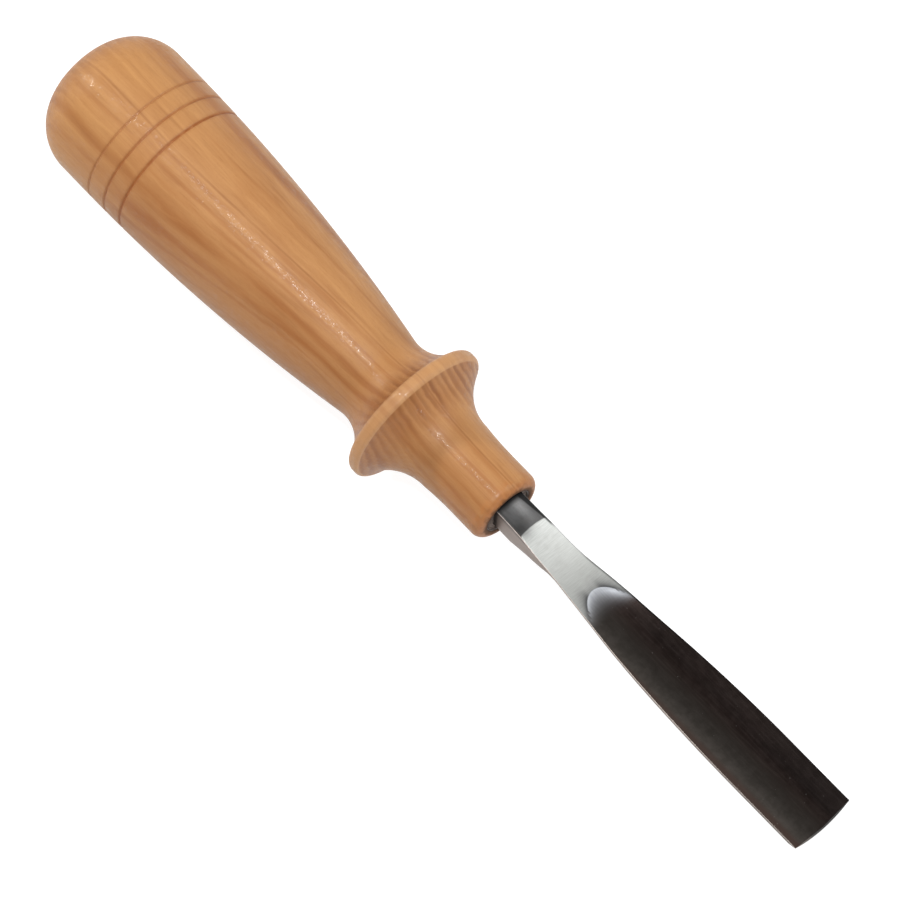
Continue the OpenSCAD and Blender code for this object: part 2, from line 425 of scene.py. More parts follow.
def late_wood(s, grain):
    """Growth layers: pale at first, then darkening to a sharper end."""
    layer = s.math("DIVIDE", grain.bent, LAYER)
    phase = s.math("FRACT", layer)
    late = s.math("MULTIPLY", s.fit(phase, 0.08, 0.62), s.fit(phase, 1.0, 0.72))
    which = s.combined(s.math("MULTIPLY", grain.along, 0.012), s.math("FLOOR", layer))
    by_layer = s.noise(which, (1.0, 0.73, 1.0), detail=0.0)
    return s.math("MULTIPLY", late, s.fit(by_layer, 0.3, 0.7, 0.40, 1.0))


def dark_bands(s, grain):
    """Darker bands a layer or two wide, which come and go along the handle."""
    bands = 0.0
    for middle, half, strength in WOOD_BANDS:
        bands = s.math("MAXIMUM", bands, band_at(s, grain.bent, middle, half, strength))
    bands = s.math("MULTIPLY", bands, s.fit(grain.patchy, 0.34, 0.58, 0.25, 1.15))
    return s.math("MULTIPLY", bands, grain.from_butt)


def dark_vein(s, grain):
    """One thin vein, which bends less than the bands do."""
    wander = s.math("ADD", grain.depth, s.fit(grain.sway, 0.3, 0.7, -0.35, 0.35))
    shown = s.fit(grain.patchy, 0.3, 0.6, 0.35, 1.0)
    return s.math("MULTIPLY", band_at(s, wander, *WOOD_VEIN), shown)


def ground_colour(s, grain):
    """The wood's pale ground with its bands and streaks."""
    blotch = s.noise(grain.where, (0.035, 0.13, 0.13), detail=3.0, roughness=0.6, shift=17.0)
    colour = s.mix(s.fit(grain.patchy, 0.35, 0.65, 0.0, 0.35), PALE, WARM)
    colour = s.mix(s.fit(blotch, 0.48, 0.72, 0.0, 0.45), colour, BLOTCH)
    colour = s.mix(s.fit(grain.along, BUTT_X + 34.0, BUTT_X, 0.0, 0.30), colour, PALE_BUTT)
    colour = s.mix(dark_bands(s, grain), colour, BAND)
    streaked = s.math("MULTIPLY", s.fit(grain.streaks, 0.50, 0.75, 0.0, 0.38), grain.from_butt)
    colour = s.mix(streaked, colour, DARK)
    return s.mix(s.fit(grain.streaks, 0.50, 0.28, 0.0, 0.35), colour, PALE_STREAK)


def grain_colour(s, grain, colour, late):
    """Adds layers, fibres, pores and the vein. Steep faces are darker and more striped: partly end
    grain, which drinks more of the finish, and partly painted shade on those faces."""
    by_place = s.fit(grain.along, BUTT_X + 12.0, BUTT_X + 20.0, 0.4, 0.93)
    show = s.math("ADD", 0.07, s.math("MULTIPLY", grain.end_grain_and_shade, by_place))
    pores = s.noise(grain.where, (0.30, 4.5, 4.5), detail=1.0, shift=9.0)
    colour = s.mix(s.math("MULTIPLY", late, show), colour, DARK)
    colour = s.mix(s.fit(grain.fibres, 0.42, 0.72, 0.0, 0.20), colour, WARM)
    colour = s.mix(s.fit(pores, 0.60, 0.74, 0.0, 0.12), colour, DARK)
    colour = s.mix(s.fit(grain.flecks, 0.50, 0.80, 0.0, 0.30), colour, WARM)
    colour = s.mix(dark_vein(s, grain), colour, VEIN)
    return s.mix(s.math("MULTIPLY", grain.end_grain_and_shade, 0.34), colour, END_GRAIN_AND_SHADE)


def near_side_shade_and_rim(s, grain, colour):
    """Painted shade darkens the near side towards the collar. The wood also darkens a little all
    round towards the collar, and the rim is paler."""
    towards_collar = s.fit(grain.along, -95.0, -65.0)
    # Painted shade on the near side, growing towards the collar.
    near_side = s.math("MULTIPLY", s.fit(grain.depth, 5.0, 12.0), towards_collar)
    colour = s.mix(s.math("MULTIPLY", near_side, 0.38), colour, NEAR_SIDE_SHADE)
    colour = s.dim(colour, s.fit(grain.along, -75.0, -10.0, 1.0, 0.96))
    from_rim = s.math("ABSOLUTE", grain.along)
    paler_rim = s.math("MULTIPLY", grain.rim, s.fit(from_rim, 3.5, 2.5))
    return s.mix(s.math("MULTIPLY", paler_rim, 0.35), colour, PALE_RIM)


def shaded_mouth(s, grain, colour):
    """Painted shade, greyed by a painted reflection of the steel, darkens the wood round the
    mouth, darkest at its edge, and the wood a little further out is warmer. Gives the painted
    shade's strength too.
    """
    out = s.math("SUBTRACT", s.radius(grain.where), LIP_R)
    smudge = s.noise(grain.where, (0.7, 0.7, 0.7), detail=2.0, shift=21.0)
    reach = s.math("MULTIPLY", out, s.fit(smudge, 0.3, 0.7, 0.8, 1.3))
    at_mouth = s.fit(grain.along, NOSE_X - 3.5, NOSE_X - 1.5)
    by_mouth = s.math("MULTIPLY", s.fit(reach, 3.6, 1.8), at_mouth)
    stain_and_shade = s.math("MULTIPLY", s.fit(reach, 2.1, 0.5, 0.0, 0.9), at_mouth)
    edge_shade = s.math("MULTIPLY", s.fit(reach, 0.5, 0.0, 0.0, 0.70), at_mouth)
    colour = s.mix(s.math("MULTIPLY", by_mouth, 0.65), colour, MOUTH_WARM)
    colour = s.mix(stain_and_shade, colour, MOUTH_SHADE_GREY)
    return s.mix(edge_shade, colour, MOUTH_EDGE_SHADE), stain_and_shade


def burnt(s, grain):
    """The burnt lines: charred at the groove's floor, scorched just beside it."""
    char = 0.0
    for i, strength in enumerate(LINE_STRENGTH):
        off = s.math("ABSOLUTE", s.math("SUBTRACT", grain.along, line_x(i)))
        core = s.fit(off, 0.55, 0.12, 0.0, strength)
        halo = s.fit(off, 1.2, 0.2, 0.0, 0.25 * strength)
        char = s.math("MAXIMUM", char, s.math("MAXIMUM", core, halo))
    shake = s.noise(grain.where, (0.6, 0.6, 0.6), detail=2.0, shift=2.0)
    return s.math("MULTIPLY", char, s.fit(shake, 0.25, 0.6, 0.65, 1.0))


def wood():
    """Straight-grained fruit wood under a satin lacquer. Fine turning ridges draw the
    lacquer's highlights out along the handle."""
    s = Shader("lacquered_wood")
    grain = Grain(s)
    late = late_wood(s, grain)
    colour = grain_colour(s, grain, ground_colour(s, grain), late)
    colour, stain_and_shade = shaded_mouth(s, grain, near_side_shade_and_rim(s, grain, colour))
    char = burnt(s, grain)

    ridges = s.noise(grain.where, (3.6, 0.30, 0.30), detail=2.0, roughness=0.7, shift=4.0)
    glints = s.noise(grain.where, (1.1, 2.0, 2.0), detail=3.0, roughness=0.7, shift=27.0)
    relief = s.math("ADD", s.math("MULTIPLY", grain.fibres, 0.6), s.math("MULTIPLY", late, 0.4))
    under = s.bump(relief, strength=0.25, distance_mm=0.05)
    bare = s.math("SUBTRACT", 1.0, s.math("MAXIMUM", char, stain_and_shade))
    return s.finish(
        Base_Color=s.mix(char, colour, CHAR),
        Roughness=s.fit(grain.fibres, 0.3, 0.7, 0.50, 0.62),
        Specular_IOR_Level=s.fit(stain_and_shade, 0.0, 0.8, 0.25, 0.02),
        Normal=under,
        Coat_Weight=s.math("MULTIPLY", s.fit(glints, 0.48, 0.70, 0.06, 0.55), bare),
        Coat_Roughness=s.fit(grain.flecks, 0.3, 0.7, 0.15, 0.26),
        Coat_Normal=s.bump(ridges, strength=1.0, distance_mm=0.10, onto=under),
    )


def ring_steel():
    """Turned steel that has darkened in the handle's mouth, and the brown-grey sheet in the gap
    round the shank, whose colour is painted shade.
    """
    s = Shader("darkened_steel")
    where = s.place()
    gap_sheet = s.attribute("gap_sheet")
    turned = s.noise(where, (9.0, 0.15, 0.15), detail=2.0)
    stain_and_shade = s.noise(where, (0.6, 0.6, 0.6), detail=3.0, shift=2.0)
    grit = s.noise(where, (3.0, 3.0, 3.0), detail=3.0, roughness=0.7, shift=4.0)
    steel = s.mix(s.fit(stain_and_shade, 0.35, 0.7), *RING_STEELS)
    # The sheet in the gap: its brown-grey is painted shade.
    sheet_part = s.mix(s.fit(grit, 0.3, 0.7), *GAP_SHEET_GREYS)
    relief = s.mix_value(gap_sheet, turned, grit)
    return s.finish(
        Base_Color=s.mix(gap_sheet, steel, sheet_part),
        Metallic=s.math("SUBTRACT", 1.0, gap_sheet),
        Roughness=s.mix_value(gap_sheet, s.fit(stain_and_shade, 0.3, 0.7, 0.34, 0.55), 0.85),
        Normal=s.bump(relief, strength=0.25, distance_mm=0.04),
    )


class Steel:
    """A point's place across the blade, and the noises that its looks share."""

    def __init__(self, s):
        self.where = where = s.place()
        self.sideways = s.vector("DOT_PRODUCT", where, (0, 1, 0))
        self.cloud = s.noise(where, (0.22, 0.45, 0.45), detail=4.0, roughness=0.6)
        self.scale = s.noise(where, (1.6, 1.6, 1.6), detail=4.0, roughness=0.65, shift=3.0)
        self.ground = s.noise(where, (7.0, 0.30, 1.0), detail=3.0, roughness=0.65, shift=5.0)
        self.polish = s.noise(where, (0.16, 3.2, 3.2), detail=3.0, roughness=0.6, shift=8.0)
        self.mottle = s.noise(where, (0.55, 0.55, 0.55), detail=3.0, roughness=0.6, shift=6.0)


def shank_colour(s, steel):
    """Forged grey with darker scale, and a paler flank on the near side, which is painted light.
    """
    grey = s.mix(s.fit(steel.cloud, 0.3, 0.7), *SHANK_GREYS)
    grey = s.mix(s.fit(steel.scale, 0.50, 0.8, 0.0, 0.5), grey, SHANK_SCALE)
    return s.mix(s.fit(steel.sideways, -3.2, -3.35), grey, LIT_SHANK_FLANK)


def facet_colour(s, steel):
    """Bright brush lines across the blade, a little duller in places."""
    bright = s.mix(s.fit(steel.ground, 0.3, 0.7), *FACET_BRIGHTS)
    return s.mix(s.fit(steel.mottle, 0.45, 0.75, 0.0, 0.35), bright, FACET_DULL)


def flute_colour_and_reflection(s, steel):
    """Near-black steel that is largely a painted reflection of a dark room: brown and darkest on
    the far wall, greener and paler on the near, which is painted light and shade.
    """
    sideways = steel.sideways
    brown = s.mix(s.fit(steel.mottle, 0.35, 0.65), *FLUTE_BROWNS)
    green = s.mix(s.fit(steel.mottle, 0.35, 0.65), *FLUTE_GREENS)
    speck = s.noise(steel.where, (1.9, 2.3, 2.3), detail=1.0, shift=12.0)
    dark = s.mix(s.fit(sideways, 2.5, -4.0), brown, green)
    dark = s.mix(s.fit(sideways, -5.2, -6.6), dark, FLUTE_NEAR)
    dark = s.mix(s.fit(steel.polish, 0.45, 0.8, 0.0, 0.12), dark, FLUTE_STREAK)
    dark = s.mix(s.fit(speck, 0.77, 0.82, 0.0, 0.5), dark, FLUTE_SPECK)
    # Painted shade and light across the flute: the far wall darker, most of all towards the tip,
    # and the near wall brighter.
    forward = s.vector("DOT_PRODUCT", steel.where, (1, 0, 0))
    far_wall_shade = s.fit(forward, NOSE_X + 60.0, NOSE_X + 85.0, 0.55, 0.35)
    painted_shine = s.fit(sideways, 3.8, 0.2, far_wall_shade, 1.22)
    painted_shine = s.math("MULTIPLY", painted_shine, s.fit(sideways, -2.0, -6.8, 1.0, 1.8))
    return s.dim(dark, painted_shine)


def blade_steel():
    """Forged steel: a grey shank, a facet ground bright across the blade, a dark flute that is
    largely a painted reflection, a painted highlight where it starts, painted shade round its
    start, a painted highlight on the near corner and a worn bevel at the cutting edge."""
    s = Shader("forged_steel")
    steel = Steel(s)
    facet, flute, edge, bevel, crescent_highlight, lip, painted_light = (s.attribute(n) for n in MARKS)
    worn = s.mix(s.fit(steel.ground, 0.3, 0.7), *WORN_STEELS)
    crescent = s.mix(s.fit(steel.polish, 0.3, 0.7), *CRESCENT_HIGHLIGHTS)
    colour = s.mix(facet, shank_colour(s, steel), facet_colour(s, steel))
    colour = s.mix(flute, colour, flute_colour_and_reflection(s, steel))
    # The flute's start carries a painted highlight, a bright crescent.
    colour = s.mix(crescent_highlight, colour, crescent)
    colour = s.mix(bevel, colour, worn)
    # The near top corner carries a painted highlight.
    colour = s.mix(edge, colour, EDGE_HIGHLIGHT_STEEL)
    # Painted shade round the flute's start.
    colour = s.mix(lip, colour, LIP_SHADE_STEEL)

    rough = s.fit(steel.cloud, 0.3, 0.7, 0.38, 0.48)
    rough = s.mix_value(facet, rough, s.fit(steel.ground, 0.3, 0.7, 0.48, 0.58))
    rough = s.mix_value(flute, rough, s.fit(steel.polish, 0.3, 0.7, 0.34, 0.38))
    relief = s.math("MULTIPLY", steel.scale, 0.5)
    relief = s.mix_value(facet, relief, s.math("MULTIPLY", steel.ground, 0.5))
    relief = s.mix_value(flute, relief, s.math("MULTIPLY", steel.polish, 0.06))
    return s.finish(
        # The steel's colour times the factor of painted light and shade.
        Base_Color=s.dim(colour, painted_light),
        Metallic=s.mix_value(crescent_highlight, s.mix_value(flute, 0.60, 0.92), 0.15),
        Roughness=s.mix_value(bevel, rough, 0.34),
        Normal=s.bump(relief, strength=0.35, distance_mm=0.03),
    )


# ---------------------------------------------------------------- mesh helpers


def build(name, rings, loop=False, marks=None):
    """A closed skin through rings of equally many points; each ring is a closed loop.
    With loop, the last ring joins the first. marks holds named values for each point."""
    count = len(rings[0])
    mesh = bmesh.new()
    marks = marks or {}
    for key in marks:
        mesh.verts.layers.float.new(key)
    # A new layer makes handles to the older ones stale, so they are fetched afterwards.
    layers = {key: mesh.verts.layers.float[key] for key in marks}
    grid = [[mesh.verts.new(Vector(p) * MM) for p in ring] for ring in rings]
    pairs = list(zip(grid, grid[1:]))
    ends = []
    if loop:
        pairs.append((grid[-1], grid[0]))
    else:
        ends = grid[0][::-1], grid[-1]
    for a, b in pairs:
        for i in range(count):
            j = (i + 1) % count
            mesh.faces.new((a[i], a[j], b[j], b[i]))
    for ring in ends:
        fan(mesh, ring)
    for key, values in marks.items():
        for ring, row in zip(grid, values):
            for vert, value in zip(ring, row):
                vert[layers[key]] = float(value)
    bmesh.ops.recalc_face_normals(mesh, faces=mesh.faces)
    data = bpy.data.meshes.new(name)
    mesh.to_mesh(data)
    mesh.free()
    for polygon in data.polygons:
        polygon.use_smooth = True
    data.set_sharp_from_angle(angle=SHARP_ANGLE)
    made = bpy.data.objects.new(name, data)
    bpy.context.scene.collection.objects.link(made)
    return made


def fan(mesh, ring):
    """Closes a ring with triangles round its middle."""
    middle = Vector((0, 0, 0))
    for vert in ring:
        middle += vert.co / len(ring)
    hub = mesh.verts.new(middle)
    for i, vert in enumerate(ring):
        mesh.faces.new((vert, ring[(i + 1) % len(ring)], hub))


def arc(cx, cr, radius, start, end, step):
    """Points of a profile's arc, from one angle to another, about step apart."""
    count = max(2, round(abs(end - start) * radius / step))
    angles = np.linspace(start, end, count + 1)
    return [(cx + radius * math.cos(t), cr + radius * math.sin(t)) for t in angles]


def line(start, end, step):
    """Points of a profile's straight run, about step apart."""
    count = max(1, round(math.dist(start, end) / step))
    shares = np.linspace(0, 1, count + 1)
    return [tuple(np.array(start) * (1 - t) + np.array(end) * t) for t in shares]


def joined(*runs):
    """One profile from several runs, with doubled points dropped."""
    points = []
    for run in runs:
        for point in run:
            if not points or math.dist(points[-1], point) > DOUBLED:
                points.append(point)
    return points


# ---------------------------------------------------------------- handle


def line_x(i):
    """Where the burnt line of that number is, counted from the butt."""
    return BUTT_X + LINE_START + i * LINE_PITCH


def groove_depth(x):
    """Depth of the burnt lines at x: each is a small V with soft lips."""
    depth = 0.0
    for i, strength in enumerate(LINE_STRENGTH):
        off = abs(x - line_x(i))
        deep = LINE_DEPTH * (0.5 + 0.5 * strength)
        depth = max(depth, deep - LINE_SLOPE * math.hypot(off, LINE_SOFT))
    return max(0.0, depth)


def grip_profile():
    """(x, radius) of the butt's crown, its shoulder and the belly, and the angle at
    which the belly meets the neck's hollow."""
    belly_x = BUTT_X + BELLY_BACK
    run = -NECK_BACK - belly_x
    drop = GRIP_R - NECK_R
    total = (run * run + drop * drop) / (2 * drop)
    belly_arc = total - NECK_COVE
    meet = math.asin(run / total)

    shoulder_r = GRIP_R - SHOULDER_ARC
    crown_x = BUTT_X + CROWN_ARC
    crown_gap = CROWN_ARC - SHOULDER_ARC
    turn = math.asin(shoulder_r / crown_gap)
    shoulder_x = crown_x - crown_gap * math.cos(turn)

    crown = arc(crown_x, 0, CROWN_ARC, math.pi - 0.002, math.pi - turn, step=0.6)
    shoulder = arc(shoulder_x, shoulder_r, SHOULDER_ARC, math.pi - turn, QUARTER, step=0.5)
    belly = arc(belly_x, GRIP_R - belly_arc, belly_arc, QUARTER, QUARTER - meet, step=1.2)
    return crown + shoulder + belly, meet


def collar_profile(meet):
    """(x, radius) of the neck's hollow, the rim and the front hollow. The rim's rounded
    edges run straight on into the hollows on both sides of it."""
    neck_r = NECK_R + NECK_COVE
    back_r = COLLAR_R - RIM_BACK_ROUND
    back_reach = NECK_COVE + RIM_BACK_ROUND
    back_turn = math.asin((neck_r - back_r) / back_reach)
    back_x = back_reach * math.cos(back_turn) - NECK_BACK
    face_r = FRONT_COVE_R + FRONT_COVE
    fore_r = COLLAR_R - RIM_FRONT_ROUND
    fore_reach = FRONT_COVE + RIM_FRONT_ROUND
    fore_turn = math.asin((face_r - fore_r) / fore_reach)
    fore_x = FRONT_COVE_END - fore_reach * math.cos(fore_turn)

    neck_from, neck_to = 3 * QUARTER - meet, 4 * QUARTER - back_turn
    face_from, face_to = math.pi + fore_turn, 3 * QUARTER
    neck = arc(-NECK_BACK, neck_r, NECK_COVE, neck_from, neck_to, step=0.4)
    back = arc(back_x, back_r, RIM_BACK_ROUND, math.pi - back_turn, QUARTER, step=0.12)
    fore = arc(fore_x, fore_r, RIM_FRONT_ROUND, QUARTER, fore_turn, step=0.12)
    face = arc(FRONT_COVE_END, face_r, FRONT_COVE, face_from, face_to, step=0.4)
    return neck + back + fore + face


def nose_profile():
    """(x, radius) of the slight taper, the straight nose and its rounded end."""
    taper_x = NOSE_X - NOSE_STRAIGHT
    round_x = NOSE_X - NOSE_ROUND
    run = taper_x - FRONT_COVE_END
    drop = FRONT_COVE_R - NOSE_R
    sweep = (run**2 + drop**2) / (2 * drop)
    start = 3 * QUARTER - math.asin(run / sweep)
    taper = arc(taper_x, NOSE_R + sweep, sweep, start, 3 * QUARTER, step=1.0)
    straight = line((taper_x, NOSE_R), (round_x, NOSE_R), step=1.0)
    nose = arc(round_x, NOSE_R - NOSE_ROUND, NOSE_ROUND, QUARTER, 0.0, step=0.2)
    return taper + straight + nose


def handle_profile():
    """(x, radius) from the butt's crown to the mouth's edge."""
    grip, meet = grip_profile()
    return with_grooves(joined(grip, collar_profile(meet), nose_profile()))


def with_grooves(points):
    """Adds close points at each burnt line and sinks them."""
    lines = [line_x(i) for i in range(len(LINE_STRENGTH))]
    reach = 1.8 * LINE_DEPTH
    kept = [p for p in points if all(abs(p[0] - x) > reach for x in lines)]
    xs = np.array([p[0] for p in points])
    rs = np.array([p[1] for p in points])
    extra = []
    for x in lines:
        for off in np.linspace(-reach, reach, 19):
            extra.append((x + off, float(np.interp(x + off, xs, rs)) - groove_depth(x + off)))
    before = [p for p in kept if p[0] < lines[0]]
    rest = [p for p in kept if p[0] >= lines[0] and p[0] < lines[-1] + LINE_PITCH]
    after = [p for p in kept if p[0] >= lines[-1] + LINE_PITCH]
    return before + sorted(rest + extra) + after


def by_hand(rings):
    """The collar leans forward a little on top, and its front hollow runs a little
    further forward on the far side."""
    moved = []
    for ring in rings:
        row = []
        for x, y, z in ring:
            up = FACING.dot((0, y, z)) / COLLAR_R
            across = ACROSS.dot((0, y, z)) / COLLAR_R
            share = max(0.0, (math.hypot(y, z) - NOSE_R) / (COLLAR_R - NOSE_R))
            lean = float(fade(x, -NECK_BACK, COLLAR_BACK)) * (x < FRONT_COVE_END) * share * up
            skew = 4 * share * (1 - share) * (0 < x < FRONT_COVE_END) * across
            row.append((x + COLLAR_LEAN * lean - FACE_SKEW * skew, y, z))
        moved.append(row)
    return moved


def turned(profile, count):
    """Rings of a turned shape about the X axis."""
    rings = []
    for x, r in profile:
        angles = [2 * math.pi * k / count for k in range(count)]
        rings.append([(x, r * math.cos(t), r * math.sin(t)) for t in angles])
    return rings


def square_ring(x, half, rise, count):
    """A square loop whose points line up with a turned ring's."""
    ring = []
    for k in range(count):
        t = 2 * math.pi * k / count
        reach = half / max(abs(math.cos(t)), abs(math.sin(t)))
        ring.append((x, reach * math.cos(t), rise + reach * math.sin(t)))
    return ring


def tang_at(x):
    """Half side and height of the tang at x, measured from the nose face."""
    share = (-SEAT_DEPTH - x) / TANG_LEN
    half = SHANK_HALF + (TANG_END_HALF - SHANK_HALF) * share
    return half, SHANK_RISE * (1 - share)


def handle():
    """The turned handle: its outside, the lip round the mouth, the ring's seat and the
    square socket that holds the tang."""
    seat_x = NOSE_X - SEAT_DEPTH
    lip_back = NOSE_X - LIP_THICK
    mouth = [
        (NOSE_X, LIP_R + 0.5),
        (NOSE_X - 0.03, LIP_R + 0.28),
        (NOSE_X - 0.08, LIP_R + 0.10),
        (lip_back + 0.02, LIP_R),
        (lip_back, LIP_R + 0.03),
    ]
    bore = line((lip_back, RING_R), (seat_x, RING_R), step=2.0)
    rings = by_hand(turned(handle_profile(), HANDLE_SIDES)) + turned(mouth + bore, HANDLE_SIDES)
    for share in np.linspace(0, 1, 9):
        half, rise = tang_at(-SEAT_DEPTH - share * TANG_LEN)
        x = seat_x - share * (TANG_LEN + SOCKET_GAP)
        rings.append(square_ring(x, half + SOCKET_GAP, rise, HANDLE_SIDES))
    made = build("turned_handle", rings)
    made.data.materials.append(wood())
    return made


# ---------------------------------------------------------------- ferrule


def ferrule():
    """The thin steel ring let into the mouth, with its edges eased. A brown-grey sheet closes the
    gap between it and the shank just behind its front edge; it stands in for the gap's shaded
    floor, as painted shade."""
    ease, count = RING_EASE, RING_SIDES
    inner = RING_R - RING_WALL
    x0, x1 = RING_LOW.x, RING_HIGH.x
    corners = [
        (x1 - ease, RING_R - ease, 1),
        (x0 + ease, RING_R - ease, 2),
        (x0 + ease, inner + ease, 3),
        (x1 - ease, inner + ease, 4),
    ]
    runs = [arc(x, r, ease, (q - 1) * QUARTER, q * QUARTER, step=0.06) for x, r, q in corners]
    clean = runs[0] + runs[1] + runs[2]
    front = x1 - GAP_SHEET_DEPTH
    back = front - GAP_SHEET_THICK
    rings = turned(clean + [(back, inner)], count)
    rings += [square_ring(x, SHANK_HALF + GAP_SHEET_CLEARANCE, SHANK_RISE, count) for x in (back, front)]
    rings += turned([(front, inner)] + runs[3], count)
    sheet_part = range(len(clean), len(clean) + 4)
    gap_sheet_rows = [[float(i in sheet_part)] * count for i in range(len(rings))]
    made = build("mouth_ring", rings, loop=True, marks={"gap_sheet": gap_sheet_rows})
    made.data.materials.append(ring_steel())
    return made


# ---------------------------------------------------------------- blade


def soft_min(a, b, width):
    """The lower of two heights, with the crease between them rounded."""
    overlap = np.maximum(width - np.abs(a - b), 0) / width
    return np.minimum(a, b) - overlap * overlap * width / 4


def soft_max(a, b, width):
    """The higher of two heights, with the crease between them rounded."""
    return -soft_min(-a, -b, width)


def half_width(x):
    """Half of the blade's width, x from the nose face."""
    share = (x - TAPER_FROM) / (WAIST - TAPER_FROM)
    taper = (SHANK_HALF + (waist_half() - SHANK_HALF) * share) * (x < TAPER_TO)
    off = np.minimum(x, FLARE_END) - FLARE_END
    flare = BLADE_HALF - FLARE_ARC + np.sqrt(FLARE_ARC**2 - off * off)
    return soft_max(soft_max(np.full_like(x, SHANK_HALF), taper, 0.12), flare, 0.25)


def waist_half():
    """Half of the width at the waist, where the shank's taper meets the flare."""
    return BLADE_HALF - (FLARE_END - WAIST) ** 2 / (2 * FLARE_ARC)


def crowned_wheel(x, y, radius, cross):
    """Height above its lowest point of a crowned wheel's surface."""
    rim = radius - cross + np.sqrt(cross * cross - y * y)
    return radius - np.sqrt(rim * rim - x * x)


def top_line(x):
    """Height of the blade's top before it is ground."""
    shank_top = SHANK_RISE + SHANK_HALF
    low = TOP_TIP - TOP_SLOPE * (BLADE_LEN - TOP_LOW)
    rising = TOP_TIP - TOP_SLOPE * (BLADE_LEN - x)
    places = [TOP_KNEE, WAIST + KNEE_PAST_WAIST, TOP_LOW]
    knees = np.interp(x, places, [shank_top, low + KNEE_RISE, low])
    return np.where(x < TOP_LOW, knees, rising)


def floor_line(x):
    """Height of the flute's floor along its middle."""
    return FLOOR_TIP - FLOOR_SLOPE * (BLADE_LEN - x)


def flute_height(x, y):
    """Surface of the flute, which runs up out of the top at its start."""
    run = np.clip(x - FLUTE_START, -GRIND_REACH, 0)
    return floor_line(x) + crowned_wheel(run, y, FLUTE_WHEEL, FLUTE_ARC)


def facet_height(x, y):
    """Surface of the facet ground across the shank's end."""
    run = np.clip(x - FACET_MID, -GRIND_REACH, GRIND_REACH)
    rise = crowned_wheel(run, y, FACET_ARC, FACET_CROSS_ARC)
    return SHANK_RISE + SHANK_HALF - FACET_DEPTH + rise


def top_height(x, y):
    """Upper surface of the blade."""
    crease = np.where(x > FACET_MID, FACET_RUNOUT, FACET_CREASE)
    ground = soft_min(top_line(x), facet_height(x, y), crease)
    height = soft_min(ground, flute_height(x, y), FLUTE_CREASE)
    chamfer = SHANK_RISE + 2 * SHANK_HALF - SHANK_CHAMFER - np.abs(y)
    return np.where(x < WAIST, soft_min(height, chamfer, SHANK_CREASE), height)


def fade(value, none, full):
    """0 at none, 1 at full, smooth between."""
    t = np.clip((value - none) / (full - none), 0, 1)
    return t * t * (3 - 2 * t)


def top_marks(x, y):
    """The marks of the upper surface, in the order of MARKS."""
    land, facet, flute = top_line(x), facet_height(x, y), flute_height(x, y)
    deep = np.minimum(land, facet) - flute
    in_flute = np.clip(0.5 + deep / MARK_BLUR, 0, 1)
    on_facet = np.clip(0.5 + (land - facet) / MARK_BLUR, 0, 1)
    on_facet = np.maximum(on_facet, fade(x, FACET_MID - 1, FACET_MID + 1))
    # A painted highlight: a bright crescent where the flute runs up out of the top.
    crescent_highlight = np.exp(-np.maximum(deep, 0) / 0.30) * in_flute * fade(x, 32.0, 25.5)
    # Painted shade: a dark line round the flute's start, just outside it.
    lip = np.exp(-np.maximum(-deep, 0) / 0.22) * (1 - in_flute) * fade(x, 36, 28)
    lip = lip * (0.45 + 0.55 * fade(np.abs(y), 0.8, 2.0)) * (deep > -1.5)
    # Painted shade: the top darkens past the facet, and more along the far rim between the facet
    # and the flute's start.
    far_rim_shade = fade(half_width(x) - y, 0.5, 0.15) * fade(x, 16, 20) * fade(x, 44, 36)
    painted_light = shank_light_and_shade(x, y) * (1 - 0.21 * fade(x, 14, 24)) * (1 - 0.65 * far_rim_shade)
    none = np.zeros_like(x)
    return [on_facet * (1 - in_flute), in_flute, none, none, crescent_highlight, lip, painted_light]


def shank_light_and_shade(x, y):
    """Painted light and shade on the shank's top: painted shade in the mouth, a dark far edge that
    is a painted reflection, a painted highlight beside the mouth and painted shade beside the
    facet's near corner, with a little painted shade along the near edge too."""
    edge_from = 1.9 + 0.12 * np.clip(x, 0, 10)
    far_edge_shade = fade(y, edge_from, edge_from + 0.35) * fade(x, 10.0, 8.0)
    dull_shade = np.exp(-(((x - 5.8) / 2.3) ** 2) - ((y + 2.2) / 1.9) ** 2)
    near_edge = fade(y, -2.3, -2.9) * fade(x, 7.5, 6.0)
    bright = np.exp(-(((x - 2.0) / 3.0) ** 2) - ((y - 1.0) / 1.2) ** 2)
    painted_light = (1 - 0.85 * far_edge_shade) * (1 - 0.62 * dull_shade) * (1 - 0.35 * near_edge)
    return painted_light * (1 + 1.5 * bright) * (1 - 0.92 * fade(x, 0.9, 0.2))


def rim_height(x):
    """Height of the blade's top along its sides."""
    return top_height(x, half_width(x))


def wall_depth(x):
    """Depth of the blade's side wall, which is the shank's full side at first."""
    flush = 2 * SHANK_HALF - SHANK_CHAMFER
    return np.interp(x, (KEEL_FROM, *WALL_AT), (flush, *WALL_DEEP))


def forged_underside(x, y):
    """Lower surface before sharpening: the square shank, then a keel that runs up to
    the side walls."""
    flat = np.full_like(x, SHANK_RISE - SHANK_HALF)
    chamfer = SHANK_RISE - 2 * SHANK_HALF + SHANK_CHAMFER + np.abs(y)
    shank = soft_max(flat, chamfer, SHANK_CREASE)
    dive = (UNDERSIDE_Z - SHANK_RISE + SHANK_HALF) / (WAIST - KEEL_FROM)
    slope = np.where(x > WAIST, UNDERSIDE_SLOPE, dive)
    lowest = UNDERSIDE_Z + slope * (x - WAIST)
    share = np.clip(np.abs(y) / half_width(x), 0, 1)
    rise = np.maximum(rim_height(x) - wall_depth(x) - lowest, 0)
    return np.where(x > KEEL_FROM, lowest + rise * share**KEEL_POWER, shank)


